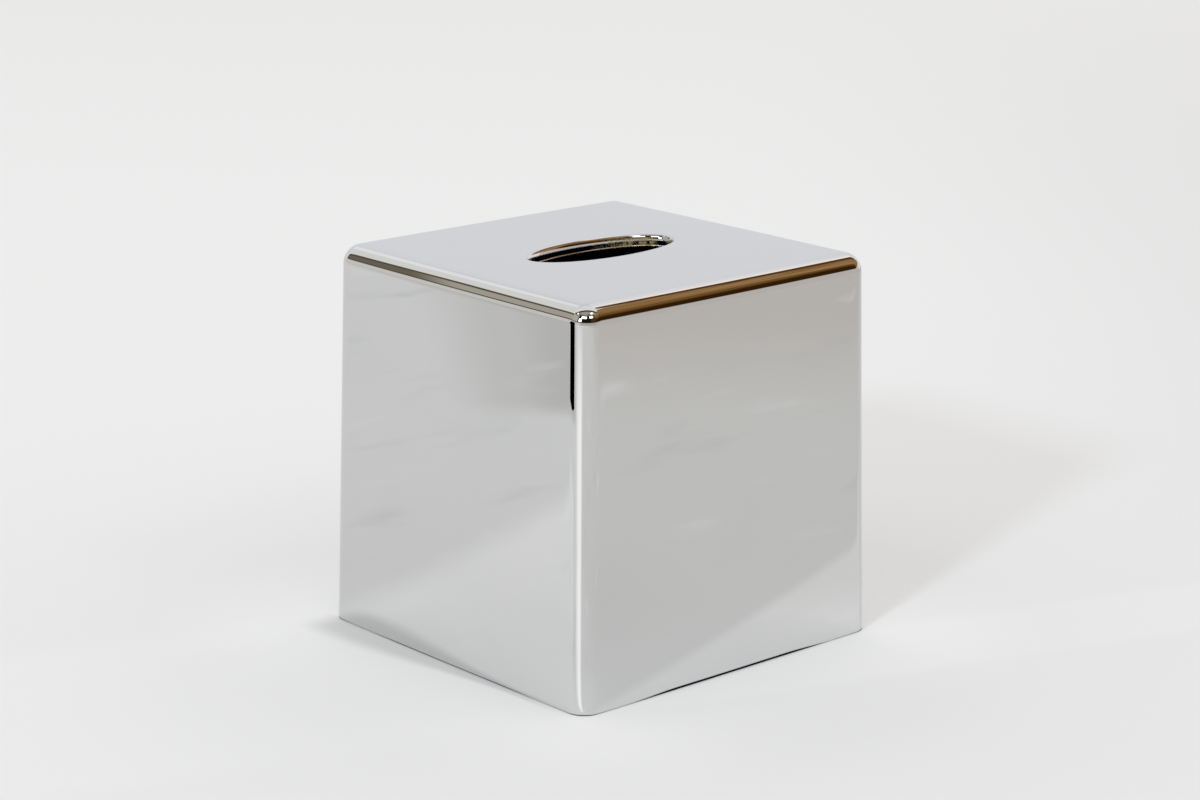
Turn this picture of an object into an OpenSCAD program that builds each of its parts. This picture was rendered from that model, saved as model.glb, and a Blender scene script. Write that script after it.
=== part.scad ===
// Cube tissue box cover, moulded in one piece with a mirror finish.
// It stands open side down over the box, and the tissues come up through the slot.
// Millimetres. The origin is on the table at the middle of the foot, and +Z is up.

/* [Body] */
// Width of the square foot, from the middle of one wall to the middle of the other
foot_w = 135; // [128:1:160]
// Height from the table to the top face
height = 134; // [125:0.5:170]
// Lean of every wall from upright, in degrees, which frees the shell from its mould
draft = 1.2; // [0.5:0.1:2]
// Radius of the slight outward bow along every wall
wall_bow_r = 3500; // [2000:100:6000]
// Radius of the upright corners
corner_r = 7; // [7:0.1:12]
// Radius where the walls roll over into the top
top_r = 6.8; // [3.5:0.1:6.8]
// Thickness of the walls and the top
wall = 2.2; // [1.4:0.1:2.8]

/* [Slot] */
// Clear length of the slot, along X
slot_l = 61; // [45:1:75]
// Clear width of the slot
slot_w = 25.5; // [18:0.5:40]
// Width of the roll where the top turns down into the slot
rim_w = 1.4; // [0.8:0.1:2]
// Depth of that roll, which turns quickly at the top and then falls steeply
rim_h = 2.6; // [1.5:0.1:2.8]
// Depth of the collar below the top face
collar_h = 4.3; // [4:0.1:9]
// Thickness of the collar
collar_t = 2.2; // [1.2:0.1:3]
// Radius of the fine parting bead on the lower edge of the collar
bead_r = 0.3; // [0.2:0.05:0.5]

/* [Foot] */
// Radius of the outer edge of the foot
foot_edge_r = 0.6; // [0.3:0.1:1]
// Length of the level pad beside each corner, where the cover touches the table
pad_l = 10; // [5:1:25]
// Length over which the foot rises from a pad
ramp_l = 26; // [10:1:26]
// Rise of the foot along the middle of the two walls beside the slot
rise_y = 0.8; // [0:0.1:1.5]
// Rise of the foot along the middle of the two walls at the slot's ends
rise_x = 0.3; // [0:0.1:1.5]

/* [Detail] */
// Facets along each wall
side_facets = 10; // [6:2:20]
// Facets round each upright corner
corner_facets = 8; // [6:1:12]
// Facets over the top edge and down the rim
round_facets = 7; // [5:1:12]
// Facets round the parting bead
bead_facets = 4; // [4:2:8]

/* [Hidden] */

ring_points = 4 * (side_facets + corner_facets);

// Inset of the outer wall from its line at the foot, at height z
function lean(z) = z * tan(draft);

// Angle that half of a bowed side spans, where it runs smoothly into the corner arcs
function side_angle(half, r, bow_r) = acos((bow_r - half) / (sqrt(2) * (bow_r - r))) - 45;

// How far the foot is lifted off the table at s from the middle of a side that is 2 * reach long
function foot_lift(s, reach, rise) =
    let (risen = min(1, max(0, (reach - pad_l - abs(s)) / ramp_l)))
    rise / 2 * (1 - cos(180 * risen));

function turn(p, angle) = [
    p.x * cos(angle) - p.y * sin(angle),
    p.x * sin(angle) + p.y * cos(angle),
    p.z
];

// One bowed side and the corner after it, for the side that faces +X
function side_and_corner(half, r, bow_r, z, rise) =
    let (
        reach_angle = side_angle(half, r, bow_r),
        reach = bow_r * sin(reach_angle),
        corner_c = (bow_r - r) * sin(reach_angle),
        corner_span = 90 - 2 * reach_angle
    )
    concat(
        [for (i = [0 : side_facets])
            let (a = reach_angle * (2 * i / side_facets - 1))
            [half - bow_r + bow_r * cos(a), bow_r * sin(a), z + foot_lift(bow_r * sin(a), reach, rise)]],
        [for (i = [1 : corner_facets - 1])
            let (a = reach_angle + corner_span * i / corner_facets)
            [corner_c + r * cos(a), corner_c + r * sin(a), z]]
    );

// Level outline of the box: its walls lean in by lean_in, and the whole outline is then set in by inset
function body_ring(lean_in, inset, z, lift = 0) =
    [for (side = [0 : 3])
        for (p = side_and_corner(foot_w / 2 - lean_in - inset, corner_r - inset, wall_bow_r - inset, z,
                                 lift * (side % 2 == 0 ? rise_x : rise_y)))
            turn(p, 90 * side)];

// Ellipse of the slot, set out from its clear size by grow, with as many points as body_ring.
// It starts at the same corner, half a step on.
function slot_ring(grow, z) =
    let (a = slot_l / 2, b = slot_w / 2)
    [for (i = [0 : ring_points - 1])
        let (t = 360 * (i + 0.5) / ring_points - 45, n = [cos(t) / a, sin(t) / b])
        [a * cos(t) + grow * n.x / norm(n), b * sin(t) + grow * n.y / norm(n), z]];

// Rings round an edge of radius r, from angle a0 to a1 above level, about the centre line of that edge
function body_round(lean_in, centre_inset, z, r, a0, a1, lift = 0) =
    [for (i = [0 : round_facets])
        let (a = a0 + (a1 - a0) * i / round_facets)
        body_ring(lean_in, centre_inset - r * cos(a), z + r * sin(a), lift)];

function foot_rings() =
    concat(
        [body_ring(0, wall / cos(draft), 0, 1)],
        body_round(lean(foot_edge_r), foot_edge_r / cos(draft), foot_edge_r, foot_edge_r, -90, draft, 1)
    );

function top_edge_rings(r, a0, a1) =
    body_round(lean(height - top_r), top_r / cos(draft), height - top_r, r, a0, a1);

function rim_rings() =
    [for (i = [0 : round_facets])
        let (a = 90 * i / round_facets)
        slot_ring(rim_w * (1 - sin(a)), height - rim_h * (1 - cos(a)))];

function bead_rings() =
    [for (i = [0 : bead_facets])
        let (a = 90 - 180 * i / bead_facets)
        slot_ring(-bead_r * cos(a), height - collar_h + bead_r * (1 + sin(a)))];

function collar_back_rings() = [
    slot_ring(collar_t, height - collar_h),
    slot_ring(collar_t, height - wall)
];

// Closed skin through a loop of rings that have equal numbers of points
module skin_loop(rings) {
    points = [for (ring = rings) for (p = ring) p];
    count = len(rings);
    faces = [
        for (m = [0 : count - 1])
            for (i = [0 : ring_points - 1])
                let (
                    j = (i + 1) % ring_points,
                    here = m * ring_points,
                    next = ((m + 1) % count) * ring_points
                )
                each [[here + i, next + i, next + j], [here + i, next + j, here + j]]
    ];
    polyhedron(points = points, faces = faces);
}

// The section of the wall, followed from the foot up outside, over the top, down the slot and back inside
module cover() {
    color([0.78, 0.79, 0.8])
        skin_loop(concat(
            foot_rings(),
            top_edge_rings(top_r, draft, 90),
            rim_rings(),
            bead_rings(),
            collar_back_rings(),
            top_edge_rings(top_r - wall, 90, draft)
        ));
}

cover();
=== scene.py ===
"""Cube tissue box cover with a mirror plating, standing on a pale floor in soft studio light."""

import math

import bmesh
import bpy
from mathutils import Matrix, Vector


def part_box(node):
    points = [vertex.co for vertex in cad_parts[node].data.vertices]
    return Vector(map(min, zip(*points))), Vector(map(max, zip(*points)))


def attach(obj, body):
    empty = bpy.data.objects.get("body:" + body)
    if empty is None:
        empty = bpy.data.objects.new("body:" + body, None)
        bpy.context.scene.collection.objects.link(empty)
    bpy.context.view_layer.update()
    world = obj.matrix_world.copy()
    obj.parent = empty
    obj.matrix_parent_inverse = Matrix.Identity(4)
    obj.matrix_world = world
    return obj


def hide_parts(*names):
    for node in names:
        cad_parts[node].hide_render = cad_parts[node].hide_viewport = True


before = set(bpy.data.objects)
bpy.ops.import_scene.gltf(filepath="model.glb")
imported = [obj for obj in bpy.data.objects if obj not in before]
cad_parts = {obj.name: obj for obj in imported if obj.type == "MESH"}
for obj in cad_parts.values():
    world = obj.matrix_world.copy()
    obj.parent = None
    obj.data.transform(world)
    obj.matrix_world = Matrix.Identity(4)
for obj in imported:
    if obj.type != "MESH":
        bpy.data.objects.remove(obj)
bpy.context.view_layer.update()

MM = 0.001

# The cover's own sizes, in metres. Its foot and height come from the frame.
cover_low, cover_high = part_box("cover")
FOOT_W = 2 * (cover_high.x + cover_high.y - cover_low.x - cover_low.y) / 4
HEIGHT = cover_high.z
DRAFT = math.radians(1.2)
WALL_BOW_R = 3500 * MM
CORNER_R = 7 * MM
TOP_R = 6.8 * MM
WALL = 2.2 * MM
SLOT_L = 61 * MM
SLOT_W = 25.5 * MM
RIM_W = 1.4 * MM
RIM_H = 2.6 * MM
COLLAR_H = 4.3 * MM
COLLAR_T = 2.2 * MM
BEAD_R = 0.3 * MM
FOOT_EDGE_R = 0.6 * MM
PAD_L = 10 * MM
RAMP_L = 26 * MM
RISE_X = 0.3 * MM
RISE_Y = 0.8 * MM

# How finely the smooth skin is divided
SIDE_STEPS = 40
CORNER_STEPS = 24
RING_STEPS = 4 * (SIDE_STEPS + CORNER_STEPS)
FOOT_STEPS = 6
EDGE_STEPS = 20
RIM_STEPS = 14
BEAD_STEPS = 8
# A ring this close to a rounding keeps the flat beside it evenly shaded
HOLD = 0.12 * MM
SHARP_ANGLE = math.radians(40)

# The camera of the photograph. All azimuths and elevations here are in degrees.
SENSOR_W = 36
LENS = 89.44
CAMERA_AZIMUTH = -41.833
CAMERA_ELEVATION = 15.011
CAMERA_ROLL = 0.346
CAMERA_DISTANCE = 1024.464 * MM
AIM_ALONG = -0.209 * MM
AIM_Z = 80.537 * MM

# The studio's even light on matt surfaces, and the share of the light that the plating gives back
AMBIENT = 0.87
PLATING_SHARE = 0.69

# The lamps
LAMPS_AWAY = 4.0
KEY_AZIMUTH = -71
KEY_ELEVATION = 28
KEY_SIZE = 0.4
KEY_POWER = 33.0
KEY_TINT = (0.9, 1.0, 1.1)
SECOND_AZIMUTH = 10
SECOND_ELEVATION = 45
SECOND_SIZE = 0.6
SECOND_POWER = 4.0
SECOND_TINT = (1.0, 1.0, 1.0)

# The black flag in the mirror. It faces the near upright edge, and its distance is from there.
FLAG_AZIMUTH = -121.1
FLAG_SPREAD = 13.7
FLAG_AWAY = 434 * MM
FLAG_H = 190 * MM
FLAG_T = 4 * MM

# The floor: half its width, the directions in which its painted light and shade change, and how strong the
# painted thrown light, the painted contact shadow and the painted sheen on it are
FLOOR_HALF = 12.0
FROM_CAMERA = 138
TO_THE_RIGHT = 48
THROWN_SEEN = 0.02
THROWN_MORE_IN_MIRROR = 0.12
CONTACT_DARKENING = 0.22
PAINTED_SHEEN = 0.42

# The stretch of the slot's collar that was never polished, whose brownish tint is a painted reflection of
# brown light
UNPOLISHED_X = (14 * MM, 28.5 * MM)
UNPOLISHED_Y = (2.5 * MM, 19.5 * MM)
UNPOLISHED_Z = (HEIGHT - 3.9 * MM, HEIGHT - 1.1 * MM)


def heading(azimuth, elevation):
    """The unit vector of a direction: azimuth 0 is -Y, and 90 is +X."""
    a = math.radians(azimuth)
    e = math.radians(elevation)
    return Vector((math.sin(a) * math.cos(e), -math.cos(a) * math.cos(e), math.sin(e)))


def linear(red, green, blue):
    """A colour given as 0 to 255 on the screen, as the shader's own numbers."""

    def channel(value):
        value /= 255
        return value / 12.92 if value <= 0.04045 else ((value + 0.055) / 1.055) ** 2.4

    return (channel(red), channel(green), channel(blue), 1.0)


# Outlines of the cover, level ring by level ring


def bowed_side(half, corner_r, bow_r, reach_angle):
    """Points on one gently bowed side and the corner after it, for the side that faces +X."""
    corner_c = (bow_r - corner_r) * math.sin(reach_angle)
    corner_span = math.pi / 2 - 2 * reach_angle
    for i in range(SIDE_STEPS + 1):
        angle = reach_angle * (2 * i / SIDE_STEPS - 1)
        yield Vector((half - bow_r + bow_r * math.cos(angle), bow_r * math.sin(angle), 0))
    for i in range(1, CORNER_STEPS):
        angle = reach_angle + corner_span * i / CORNER_STEPS
        yield Vector((corner_c + corner_r * math.cos(angle), corner_c + corner_r * math.sin(angle), 0))


def foot_lift(along, reach, rise):
    """How far the foot is off the table, at a distance along a side from its middle."""
    risen = min(1.0, max(0.0, (reach - PAD_L - abs(along)) / RAMP_L))
    return rise / 2 * (1 - math.cos(math.pi * risen))


def body_ring(lean_in, inset, z, lifted=False):
    """A level outline of the box, whose walls lean in by lean_in and which is then set in by inset."""
    half = FOOT_W / 2 - lean_in - inset
    corner_r = CORNER_R - inset
    bow_r = WALL_BOW_R - inset
    reach_angle = math.acos((bow_r - half) / (math.sqrt(2) * (bow_r - corner_r))) - math.pi / 4
    reach = bow_r * math.sin(reach_angle)
    ring = []
    for side in range(4):
        turn = Matrix.Rotation(side * math.pi / 2, 3, "Z")
        rise = RISE_Y if side % 2 else RISE_X
        for i, point in enumerate(bowed_side(half, corner_r, bow_r, reach_angle)):
            on_side = lifted and i <= SIDE_STEPS
            lift = foot_lift(point.y, reach, rise) if on_side else 0.0
            ring.append(turn @ point + Vector((0, 0, z + lift)))
    return ring


def slot_ring(grow, z):
    """The ellipse of the slot, set out from its clear size by grow."""
    a = SLOT_L / 2
    b = SLOT_W / 2
    ring = []
    for i in range(RING_STEPS):
        angle = 2 * math.pi * (i + 0.5) / RING_STEPS - math.pi / 4
        outward = Vector((math.cos(angle) / a, math.sin(angle) / b, 0)).normalized()
        ring.append(Vector((a * math.cos(angle), b * math.sin(angle), z)) + outward * grow)
    return ring


def lean(z):
    """How far a wall has leaned in at height z."""
    return z * math.tan(DRAFT)


def body_round(centre_z, centre_inset, radius, start, end, steps, lifted=False):
    """Rings round an edge of the box, from angle start to angle end above level."""
    for i in range(steps + 1):
        angle = start + (end - start) * i / steps
        z = centre_z + radius * math.sin(angle)
        yield body_ring(lean(centre_z), centre_inset - radius * math.cos(angle), z, lifted)


def top_edge(radius, start, end):
    """The round edge between the walls and the top, outside or inside."""
    centre_z = HEIGHT - TOP_R
    return body_round(centre_z, TOP_R / math.cos(DRAFT), radius, start, end, EDGE_STEPS)


def slot_rim():
    """The roll where the top turns down into the slot."""
    for i in range(RIM_STEPS + 1):
        angle = math.pi / 2 * i / RIM_STEPS
        yield slot_ring(RIM_W * (1 - math.sin(angle)), HEIGHT - RIM_H * (1 - math.cos(angle)))


def collar_bead():
    """The fine parting bead on the lower edge of the collar."""
    for i in range(BEAD_STEPS + 1):
        angle = math.pi / 2 - math.pi * i / BEAD_STEPS
        z = HEIGHT - COLLAR_H + BEAD_R * (1 + math.sin(angle))
        yield slot_ring(-BEAD_R * math.cos(angle), z)


def outer_rings():
    """From the foot up the outside, over the top edge and down the slot to its bead."""
    edge_inset = FOOT_EDGE_R / math.cos(DRAFT)
    yield from body_round(FOOT_EDGE_R, edge_inset, FOOT_EDGE_R, -math.pi / 2, DRAFT, FOOT_STEPS, True)
    low = FOOT_EDGE_R + HOLD
    yield body_ring(lean(low), 0, low, True)
    high = HEIGHT - TOP_R - HOLD
    yield body_ring(lean(high), 0, high)
    yield from top_edge(TOP_R, DRAFT, math.pi / 2)
    yield body_ring(lean(HEIGHT - TOP_R), TOP_R / math.cos(DRAFT) + HOLD, HEIGHT)
    yield slot_ring(RIM_W + HOLD, HEIGHT)
    yield from slot_rim()
    yield from collar_bead()


def inner_rings():
    """The back of the collar, the underside of the top and the inside of the walls."""
    yield slot_ring(COLLAR_T, HEIGHT - COLLAR_H)
    yield slot_ring(COLLAR_T, HEIGHT - WALL)
    yield from top_edge(TOP_R - WALL, math.pi / 2, DRAFT)
    yield body_ring(0, WALL / math.cos(DRAFT), 0, True)


def next_ring(bm, edges, verts, places):
    """Draws a loop of edges out to new places, and gives its new edges, vertices and faces."""
    made = bmesh.ops.extrude_edge_only(bm, edges=edges)["geom"]
    faces = [item for item in made if isinstance(item, bmesh.types.BMFace)]
    fresh = {item for item in made if isinstance(item, bmesh.types.BMVert)}
    moved = [next(e.other_vert(v) for e in v.link_edges if e.other_vert(v) in fresh) for v in verts]
    for vert, place in zip(moved, places):
        vert.co = place
    made_edges = (item for item in made if isinstance(item, bmesh.types.BMEdge))
    drawn = [e for e in made_edges if e.verts[0] in fresh and e.verts[1] in fresh]
    return drawn, moved, faces


def cover_skin():
    """One closed skin, drawn out ring by ring from a circle of the right number of points."""
    bm = bmesh.new()
    verts = bmesh.ops.create_circle(bm, segments=RING_STEPS, radius=SLOT_L)["verts"]
    start_edges = list(bm.edges)
    edges = start_edges
    outer = list(outer_rings())
    inner = list(inner_rings())
    for vert, place in zip(verts, outer[0]):
        vert.co = place
    for ring in outer[1:]:
        edges, verts, _ = next_ring(bm, edges, verts, ring)
    inside_faces = []
    for ring in inner:
        edges, verts, faces = next_ring(bm, edges, verts, ring)
        inside_faces += faces
    inside_faces += bmesh.ops.bridge_loops(bm, edges=start_edges + edges)["faces"]
    for face in inside_faces:
        face.material_index = 1
    bmesh.ops.recalc_face_normals(bm, faces=bm.faces)
    for face in bm.faces:
        face.smooth = True
    for edge in bm.edges:
        edge.smooth = edge.calc_face_angle(0.0) < SHARP_ANGLE
    return bm


def make_cover(outside, inside):
    """The cover as a piece of the frame, with one material outside and one inside."""
    bm = cover_skin()
    mesh = bpy.data.meshes.new("plated_cover")
    bm.to_mesh(mesh)
    bm.free()
    mesh.materials.append(outside)
    mesh.materials.append(inside)
    cover = bpy.data.objects.new("plated_cover", mesh)
    bpy.context.scene.collection.objects.link(cover)
    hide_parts("cover")
    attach(cover, "root")


# Materials


class Graph:
    """A small helper that adds shader nodes and joins them."""

    def __init__(self, tree):
        self.tree = tree
        tree.nodes.clear()

    def add(self, kind, settings=None, **inputs):
        """A node of that kind. An input is a number, a colour, or another node's output."""
        made = self.tree.nodes.new("ShaderNode" + kind)
        for name, value in (settings or {}).items():
            setattr(made, name, value)
        for name, value in inputs.items():
            self.feed(made.inputs[name.replace("_", " ")], value)
        return made

    def feed(self, socket, value):
        if isinstance(value, bpy.types.NodeSocket):
            self.tree.links.new(value, socket)
        else:
            socket.default_value = value

    def math(self, operation, *values):
        made = self.tree.nodes.new("ShaderNodeMath")
        made.operation = operation
        for socket, value in zip(made.inputs, values):
            self.feed(socket, value)
        return made.outputs[0]

    def times(self, first, *others):
        """The product of two or more values."""
        product = first
        for value in others:
            product = self.math("MULTIPLY", product, value)
        return product

    def ramp(self, value, low, high, to_low=0.0, to_high=1.0):
        """Turns value from low to high smoothly into to_low to to_high."""
        made = self.tree.nodes.new("ShaderNodeMapRange")
        made.interpolation_type = "SMOOTHSTEP"
        for socket, number in zip(made.inputs, (value, low, high, to_low, to_high)):
            self.feed(socket, number)
        return made.outputs[0]

    def between(self, value, low, high, soft_low, soft_high):
        """1 from low to high and 0 outside, with soft ends."""
        rising = self.ramp(value, low - soft_low, low + soft_low)
        return self.times(rising, self.ramp(value, high + soft_high, high - soft_high))

    def mix(self, factor, first, second):
        made = self.tree.nodes.new("ShaderNodeMix")
        made.data_type = "RGBA"
        self.feed(made.inputs[0], factor)
        self.feed(made.inputs[6], first)
        self.feed(made.inputs[7], second)
        return made.outputs[2]

    def blend(self, factor, first, second):
        """Mixes two shader nodes: first at 0 and second at 1."""
        made = self.add("MixShader", Fac=factor)
        self.feed(made.inputs[1], first.outputs[0])
        self.feed(made.inputs[2], second.outputs[0])
        return made

    def noise(self, vector, scale, detail=2.0, roughness=0.5):
        made = self.add("TexNoise", Scale=scale, Detail=detail, Roughness=roughness, Vector=vector)
        return made.outputs[0]

    def object_place(self):
        return self.add("TexCoord").outputs["Object"]


def new_material(name):
    material = bpy.data.materials.new(name)
    material.use_nodes = True
    return material, Graph(material.node_tree)


def mirror_plating():
    """Bright plating: a mirror with faint smudges and the slight waviness of the moulding under it."""
    material, graph = new_material("mirror_plating")
    place = graph.object_place()
    smudges = graph.noise(place, 28.0, 5.0, 0.6)
    waves = graph.noise(place, 34.0, 1.0, 0.4)
    roughness = graph.ramp(smudges, 0.42, 0.72, 0.012, 0.05)
    colour = graph.mix(graph.ramp(smudges, 0.35, 0.8), (0.676, 0.678, 0.682, 1), (0.664, 0.667, 0.672, 1))
    bump = graph.add("Bump", Height=waves, Distance=0.000012, Strength=1.0)
    shader = graph.add(
        "BsdfPrincipled", Base_Color=colour, Metallic=1.0, Roughness=roughness, Normal=bump.outputs[0]
    )
    # One stretch of the slot's collar was never polished and is speckled; its brownish tint is a painted
    # reflection of the brown boards
    parts = graph.add("SeparateXYZ", Vector=place)
    patch = graph.times(
        graph.between(parts.outputs["X"], *UNPOLISHED_X, 0.009, 0.001),
        graph.between(parts.outputs["Z"], *UNPOLISHED_Z, 0.0002, 0.0003),
        graph.between(parts.outputs["Y"], *UNPOLISHED_Y, 0.0005, 0.0005),
    )
    speckle = graph.ramp(graph.noise(place, 900.0, 3.0, 0.7), 0.38, 0.62)
    unpolished_painted_brown = graph.add("BsdfPrincipled", Base_Color=(0.56, 0.42, 0.20, 1), Metallic=0.4, Roughness=0.6)
    surface = graph.blend(graph.times(patch, speckle), shader, unpolished_painted_brown)
    graph.add("OutputMaterial", Surface=surface.outputs[0])
    return material


def dull_inside():
    """The inside: a dark, dull, partly metallic finish in clouds of lighter and darker tone."""
    material, graph = new_material("dull_inside")
    place = graph.object_place()
    cloud = graph.noise(place, 40.0, 4.0, 0.6)
    colour = graph.mix(cloud, (0.10, 0.10, 0.105, 1), (0.20, 0.20, 0.21, 1))
    roughness = graph.ramp(cloud, 0.3, 0.7, 0.34, 0.5)
    shader = graph.add("BsdfPrincipled", Base_Color=colour, Metallic=0.6, Roughness=roughness)
    graph.add("OutputMaterial", Surface=shader.outputs[0])
    return material


# The studio: a pale floor, a world that is the room, soft lamps and the camera


class Room:
    """The room as a mirror sees it: a colour for every direction, built up patch by patch."""

    def __init__(self, graph, direction):
        self.graph = graph
        self.direction = direction
        self.parts = graph.add("SeparateXYZ", Vector=direction)
        minus_y = graph.times(self.parts.outputs["Y"], -1.0)
        turned = graph.math("ARCTAN2", self.parts.outputs["X"], minus_y)
        self.azimuth = graph.math("DEGREES", turned)
        self.elevation = graph.math("DEGREES", graph.math("ARCSINE", self.parts.outputs["Z"]))
        self.colour = None

    def inside(self, azimuths, elevations, soft):
        """1 inside a window of directions, in degrees, and 0 outside it, with soft edges."""
        graph = self.graph
        middle = sum(azimuths) / 2
        half = (azimuths[1] - azimuths[0]) / 2
        away = graph.math("WRAP", graph.math("SUBTRACT", self.azimuth, middle), 180.0, -180.0)
        across = graph.ramp(graph.math("ABSOLUTE", away), half + soft, half - soft)
        bottom = graph.ramp(self.elevation, elevations[0] - soft, elevations[0] + soft)
        top = graph.ramp(self.elevation, elevations[1] + soft, elevations[1] - soft)
        return graph.times(bottom, top, across)

    def paint(self, share, colour):
        """Lays a colour over what is there, as far as share says."""
        self.colour = self.graph.mix(share, self.colour, colour)

    def patch(self, azimuths, elevations, colour, soft=1.0):
        self.paint(self.inside(azimuths, elevations, soft), colour)

    def toward(self, azimuth, elevation):
        """How far every direction agrees with this one: 1 for the same, 0 for a right angle."""
        made = self.graph.add("VectorMath", {"operation": "DOT_PRODUCT"})
        self.graph.feed(made.inputs[0], self.direction)
        self.graph.feed(made.inputs[1], heading(azimuth, elevation))
        return made.outputs["Value"]


def seen(red, green, blue):
    """The colour of something that the plating shows as this colour on the screen."""
    return tuple(value / PLATING_SHARE for value in linear(red, green, blue)[:3]) + (1.0,)


def lit(level):
    """A white lamp, level times as bright as white paper."""
    return (level, level, level, 1.0)


def boards(room):
    """Long streaks of two browns."""
    graph = room.graph
    stretched = graph.add("Mapping", Scale=(3.0, 3.0, 24.0), Vector=room.direction)
    grain = graph.noise(stretched.outputs[0], 2.0, 3.0, 0.6)
    return graph.mix(graph.ramp(grain, 0.35, 0.65), seen(116, 84, 46), seen(152, 120, 80))


def mirror_only(graph):
    """1 for what the camera sees straight in a mirror, and 0 for the light on matt surfaces."""
    path = graph.add("LightPath")
    sharp = graph.math("MAXIMUM", path.outputs["Is Glossy Ray"], path.outputs["Is Transmission Ray"])
    return graph.times(sharp, graph.math("LESS_THAN", path.outputs["Diffuse Depth"], 0.5))


def make_room():
    """What the mirror shows and what lights the matt surfaces."""
    world = bpy.data.worlds.new("studio")
    bpy.context.scene.world = world
    world.use_nodes = True
    graph = Graph(world.node_tree)
    room = Room(graph, graph.add("TexCoord").outputs["Generated"])
    # The room is pale behind the cover, and grows darker towards the camera's side
    level = graph.ramp(room.toward(150, 0), -0.9, 0.6)
    room.colour = graph.mix(level, linear(196, 193, 189), linear(233, 235, 239))
    # Over a pale lower wall, the camera's side of the room is dark, and its ceiling is grey
    room.patch((-130, 45), (50, 90), seen(150, 144, 132), 2.0)
    room.patch((-40, 12), (50, 61), seen(112, 104, 92), 3.0)
    room.patch((-110, -20), (47, 55), seen(108, 100, 90), 2.0)
    room.patch((-94, 14), (13, 50), seen(20, 16, 12), 1.5)
    room.patch((-18, 14), (13, 46), seen(62, 46, 28), 4.0)
    # A dark beam runs over the room, with a pale ceiling behind it
    across = room.toward(140, 30)
    room.paint(graph.ramp(across, 0.40, 0.46), seen(214, 214, 214))
    beam_sides = graph.times(graph.ramp(across, 0.27, 0.32), graph.ramp(across, 0.46, 0.41))
    room.paint(graph.times(beam_sides, graph.ramp(room.elevation, 30.0, 34.0)), seen(52, 46, 38))
    # Low down, the backdrop behind the cover hides both of them
    room.patch((108, 192), (-90, 62), linear(233, 235, 239), 10.0)
    room.patch((120, 166), (20, 36), linear(239, 241, 245), 4.0)
    # The lower walls of the room are a warmer white
    room.patch((-165, -75), (-12, 11.3), seen(194, 191, 186), 2.0)
    room.patch((12, 75), (-12, 12.3), seen(179, 173, 166), 2.0)
    # Light wall on the right, with brown boards next to it
    room.patch((92, 128), (34, 58), seen(214, 213, 214), 5.0)
    room.patch((96, 108), (40, 58), seen(236, 226, 218), 2.0)
    room.patch((12, 97), (14, 50), boards(room), 1.0)
    room.patch((83, 96), (30, 52), seen(78, 52, 23), 1.5)
    room.patch((12, 60), (14, 38), seen(106, 76, 37), 2.0)
    room.patch((12, 58), (14, 30.5), seen(80, 52, 21), 1.5)
    room.patch((10, 54), (12.3, 27), seen(47, 27, 7), 1.5)
    # Grey board on the left, with darker edges
    room.patch((163, 180), (33, 46), seen(220, 221, 222), 3.0)
    room.patch((180, 207), (28, 46), seen(207, 206, 202), 3.0)
    shade = graph.ramp(room.parts.outputs["Y"], 0.777, 0.755)
    grey = graph.mix(shade, seen(100, 93, 80), seen(158, 153, 141))
    grey = graph.mix(graph.ramp(room.parts.outputs["Y"], 0.73, 0.6), grey, seen(170, 165, 156))
    room.patch((202.8, 266), (11.3, 35), seen(78, 71, 60), 0.9)
    room.patch((219, 266), (20, 43.5), seen(52, 46, 40), 0.9)
    room.patch((207.5, 264), (15.0, 30.5), grey, 0.9)
    room.patch((222, 264), (20, 41), grey, 0.9)
    # Lamps that only the rounded corners catch
    room.patch((-76, -42), (36, 47), lit(4.0), 1.0)
    room.patch((-24, 0), (38, 48), lit(4.0), 1.0)
    room.patch((-88, -72), (18, 33), lit(4.0), 1.0)
    room.patch((-124, -114), (48, 53), lit(3.0), 1.0)
    room.patch((-5, 20), (57, 65), lit(3.0), 1.0)
    backdrop = graph.add("Background", Color=linear(238, 238, 239), Strength=1.0)
    shown = graph.add("Background", Color=room.colour, Strength=1.0)
    lighting = graph.add("Background", Color=(1.0, 0.988, 0.978, 1.0), Strength=AMBIENT)
    unseen = graph.blend(mirror_only(graph), lighting, shown)
    all_rays = graph.blend(graph.add("LightPath").outputs["Is Camera Ray"], unseen, backdrop)
    graph.add("OutputWorld", Surface=all_rays.outputs[0])


class Ground:
    """Places on the floor, as its material works them out."""

    def __init__(self, graph):
        self.graph = graph
        self.place = graph.object_place()
        parts = graph.add("SeparateXYZ", Vector=self.place)
        self.x = parts.outputs["X"]
        self.y = parts.outputs["Y"]
        # The azimuth and the distance of a place from the near upright edge
        side = self.along(90, -FOOT_W / 2)
        ahead = self.along(0, -FOOT_W / 2)
        self.turned = graph.math("DEGREES", graph.math("ARCTAN2", side, ahead))
        self.away = self.distance(side, ahead)

    def along(self, azimuth, start=0.0):
        """How far a place lies in a direction from a start, which has the same X and Y."""
        graph = self.graph
        angle = math.radians(azimuth)
        forward = graph.times(graph.math("SUBTRACT", self.x, start), math.sin(angle))
        return graph.math("MULTIPLY_ADD", graph.math("SUBTRACT", self.y, start), -math.cos(angle), forward)

    def distance(self, first, second):
        graph = self.graph
        return graph.math("SQRT", graph.math("ADD", graph.times(first, first), graph.times(second, second)))

    def outside(self, across):
        """How far a place lies outside the wall at the negative end of X or Y."""
        return self.graph.math("SUBTRACT", self.graph.times(across, -1.0), FOOT_W / 2)


def floor_seen(ground):
    """As the camera sees it: painted light and shade, a little lighter away from the camera, and darker
    there to the right.
    """
    graph = ground.graph
    back = ground.along(FROM_CAMERA)
    colour = graph.mix(graph.ramp(back, -0.35, 0.6), linear(235, 235, 235), linear(243, 243, 243))
    right = graph.ramp(ground.along(TO_THE_RIGHT), 0.05, 0.6)
    painted_shade = graph.times(right, graph.between(back, 0.0, 1.1, 0.25, 0.9))
    return graph.mix(painted_shade, colour, linear(228, 227, 227))


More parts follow.
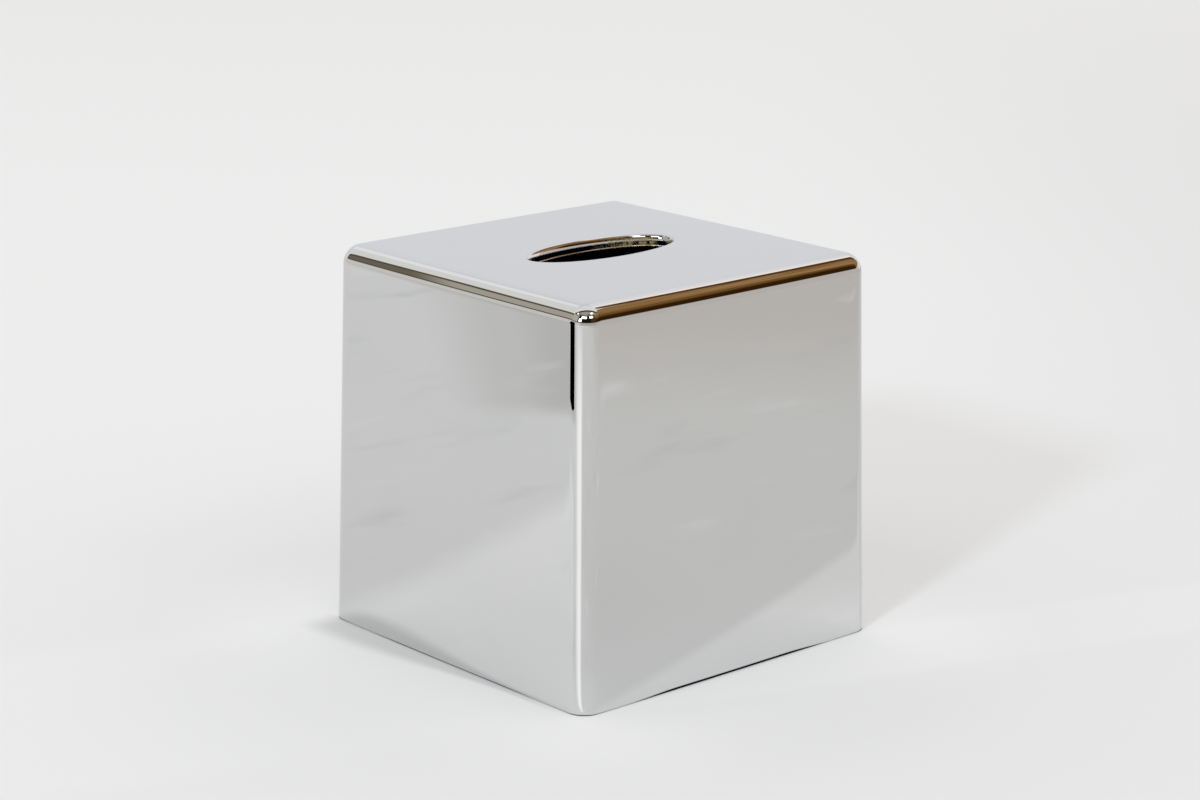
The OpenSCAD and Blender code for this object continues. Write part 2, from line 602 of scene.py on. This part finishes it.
def floor_mirrored(ground):
    """As the mirror shows it: painted falloff of light, darker further out, and a painted shadow, darker
    again before the flag.
    """
    graph = ground.graph
    colour = graph.mix(graph.ramp(ground.along(8), 0.05, 0.2), linear(237, 237, 236), linear(228, 228, 225))
    colour = graph.mix(graph.ramp(ground.along(38), 0.35, 0.68), colour, linear(217, 212, 207))
    # A painted shadow round the flag's foot, darker in two steps towards the flag
    far = graph.ramp(ground.away, 0.40, 0.44)
    for start, soft, tone in ((-144.5, 3.0, linear(222, 221, 219)), (-139.8, 1.5, linear(212, 211, 209))):
        painted_flag_shadow = graph.times(graph.between(ground.turned, start, -100.0, soft, 5.0), far)
        colour = graph.mix(painted_flag_shadow, colour, tone)
    # Faint clouds of painted light and shade, drawn out along the wall as the slight waviness of the
    # plating draws out its reflection
    turn = (0, 0, math.radians(42))
    stretched = graph.add("Mapping", Scale=(1.0, 2.2, 1.0), Rotation=turn, Vector=ground.place)
    painted_clouds = graph.noise(stretched.outputs[0], 7.0, 3.0, 0.55)
    colour = graph.mix(graph.ramp(painted_clouds, 0.42, 0.25, 0.0, 0.6), colour, linear(212, 212, 212))
    return graph.mix(graph.ramp(painted_clouds, 0.58, 0.75, 0.0, 0.5), colour, linear(247, 247, 246))


def painted_thrown_light(ground):
    """1 where a plated wall throws the key lamp's light on to the floor, which is painted into the floor's
    colour.
    """
    graph = ground.graph
    half = FOOT_W / 2
    # A leaning wall throws the light down more steeply than it came, by twice its lean
    fall = math.tan(math.radians(KEY_ELEVATION) - 2 * DRAFT)

    def from_wall(depth, side, slant):
        """depth is the way out from a wall, and side the way along it."""
        reach = HEIGHT / fall / math.hypot(1.0, slant)
        shifted = graph.math("MULTIPLY_ADD", depth, -slant, side)
        lengthways = graph.between(shifted, -half, half, 0.012, 0.015)
        return graph.times(lengthways, graph.between(depth, 0.0, reach, 0.001, 0.02))

    slant = 1 / math.tan(math.radians(-KEY_AZIMUTH))
    left = from_wall(ground.outside(ground.x), ground.y, slant)
    right = from_wall(ground.outside(ground.y), ground.x, 1 / slant)
    return graph.math("ADD", left, right)


def painted_light_at_foot(ground):
    """Factors for the floor's painted light and shade under the walls, round them, and beside the left one.
    """
    graph = ground.graph
    corner = FOOT_W / 2 - CORNER_R
    past_x = graph.math("MAXIMUM", graph.math("SUBTRACT", graph.math("ABSOLUTE", ground.x), corner), 0.0)
    past_y = graph.math("MAXIMUM", graph.math("SUBTRACT", graph.math("ABSOLUTE", ground.y), corner), 0.0)
    out = ground.distance(past_x, past_y)
    # Painted shade leaves hardly any light under the walls, and painted light gives a little more than
    # elsewhere close round them
    painted_shade_under_walls = graph.ramp(out, 0.0060, 0.0064, 0.03, 1.0)
    painted_light_round_walls = graph.ramp(out, CORNER_R, 0.08, 1.09, 1.0)
    # A painted contact shadow lies beside the left wall, and widens towards its far end
    outside = ground.outside(ground.x)
    width = graph.ramp(ground.y, -0.04, 0.055, 0.003, 0.017)
    painted_contact_shadow = graph.times(
        graph.ramp(graph.math("DIVIDE", outside, width), 1.0, 0.35),
        graph.ramp(outside, -0.002, -0.001),
        graph.between(ground.y, -0.045, 0.064, 0.02, 0.008),
    )
    return painted_shade_under_walls, painted_light_round_walls, graph.math("MULTIPLY_ADD", painted_contact_shadow, -CONTACT_DARKENING, 1.0)


def floor_material():
    """Pale floor with painted light and shade for what the cover does to its light. The mirror shows it a
    little darker.
    """
    material, graph = new_material("pale_floor")
    ground = Ground(graph)
    in_mirror = mirror_only(graph)
    # The gain is painted light and shade: it scales the floor's colour for the light the walls throw and
    # the shade at their foot
    thrown_share = graph.math("MULTIPLY_ADD", in_mirror, THROWN_MORE_IN_MIRROR, THROWN_SEEN)
    painted_light_gain = graph.math("MULTIPLY_ADD", painted_thrown_light(ground), thrown_share, 1.0)
    painted_light_gain = graph.times(painted_light_gain, *painted_light_at_foot(ground))
    painted_light_colour = graph.add("VectorMath", {"operation": "SCALE"}, Scale=painted_light_gain)
    graph.feed(painted_light_colour.inputs[0], graph.mix(in_mirror, floor_seen(ground), floor_mirrored(ground)))
    matt = graph.add("BsdfDiffuse", Color=painted_light_colour.outputs[0])
    # A painted sheen: the floor gives off light in a wedge that starts at the near upright edge, where a
    # sheen would show the key lamp
    painted_sheen_wedge = graph.times(
        graph.ramp(ground.turned, -101.0, -76.0),
        graph.ramp(ground.turned, -58.0, -70.0),
        graph.ramp(ground.away, 0.8, 0.4),
    )
    painted_sheen = graph.add("Emission", Color=lit(1.0), Strength=graph.times(painted_sheen_wedge, PAINTED_SHEEN))
    both = graph.add("AddShader")
    graph.feed(both.inputs[0], matt.outputs[0])
    graph.feed(both.inputs[1], painted_sheen.outputs[0])
    surface = graph.blend(in_mirror, matt, both)
    graph.add("OutputMaterial", Surface=surface.outputs[0])
    return material


def stage_mesh(name, bm, material):
    """Turns a mesh in the making into a thing of the studio, which isn't part of the cover."""
    mesh = bpy.data.meshes.new(name)
    bm.to_mesh(mesh)
    bm.free()
    mesh.materials.append(material)
    made = bpy.data.objects.new(name, mesh)
    bpy.context.scene.collection.objects.link(made)
    return made


def make_floor():
    bm = bmesh.new()
    bmesh.ops.create_grid(bm, x_segments=1, y_segments=1, size=FLOOR_HALF)
    stage_mesh("floor", bm, floor_material())


def make_flag():
    """A black flag that stands beyond the left wall, where only the mirror sees it."""
    material, graph = new_material("black_flag")
    shader = graph.add("Emission", Color=(0.0, 0.0, 0.0, 1.0), Strength=0.0)
    graph.add("OutputMaterial", Surface=shader.outputs[0])
    width = 2 * FLAG_AWAY * math.tan(math.radians(FLAG_SPREAD))
    bm = bmesh.new()
    bmesh.ops.create_cube(bm, size=1.0)
    bmesh.ops.scale(bm, verts=bm.verts, vec=(width, FLAG_T, FLAG_H))
    bmesh.ops.translate(bm, verts=bm.verts, vec=(0, -FLAG_AWAY, FLAG_H / 2))
    turn = Matrix.Rotation(math.radians(FLAG_AZIMUTH), 3, "Z")
    bmesh.ops.rotate(bm, verts=bm.verts, cent=(0, 0, 0), matrix=turn)
    bmesh.ops.translate(bm, verts=bm.verts, vec=(-FOOT_W / 2, -FOOT_W / 2, 0))
    flag = stage_mesh("flag", bm, material)
    flag.visible_camera = False
    flag.visible_diffuse = False
    flag.visible_shadow = False


def make_lamp(name, azimuth, elevation, size, power, tint):
    """A square soft lamp that faces the cover and stays out of its reflections."""
    lamp = bpy.data.lights.new(name, "AREA")
    lamp.size = size
    lamp.energy = power
    lamp.color = tint
    made = bpy.data.objects.new(name, lamp)
    bpy.context.scene.collection.objects.link(made)
    back = heading(azimuth, elevation)
    made.location = back * LAMPS_AWAY + Vector((0, 0, HEIGHT / 2))
    made.rotation_mode = "QUATERNION"
    made.rotation_quaternion = (-back).to_track_quat("-Z", "Y")
    made.visible_glossy = False


def make_camera():
    """The camera of the photograph: it looks down on the near upright edge, from a little way off."""
    data = bpy.data.cameras.new("camera")
    data.sensor_width = SENSOR_W
    data.lens = LENS
    data.clip_start = 0.05
    data.clip_end = 60
    camera = bpy.data.objects.new("camera", data)
    bpy.context.scene.collection.objects.link(camera)
    back = heading(CAMERA_AZIMUTH, CAMERA_ELEVATION)
    turn = math.radians(CAMERA_AZIMUTH)
    right = Vector((math.cos(turn), math.sin(turn), 0))
    up = back.cross(right)
    roll = math.radians(CAMERA_ROLL)
    across = math.cos(roll) * right + math.sin(roll) * up
    upward = -math.sin(roll) * right + math.cos(roll) * up
    camera.rotation_mode = "QUATERNION"
    camera.rotation_quaternion = Matrix((across, upward, back)).transposed().to_quaternion()
    camera.location = back * CAMERA_DISTANCE + right * AIM_ALONG + Vector((0, 0, AIM_Z))
    bpy.context.scene.camera = camera


bpy.context.scene.view_settings.view_transform = "Standard"
make_camera()
make_cover(mirror_plating(), dull_inside())
make_room()
make_floor()
make_flag()
make_lamp("key", KEY_AZIMUTH, KEY_ELEVATION, KEY_SIZE, KEY_POWER, KEY_TINT)
make_lamp("second", SECOND_AZIMUTH, SECOND_ELEVATION, SECOND_SIZE, SECOND_POWER, SECOND_TINT)
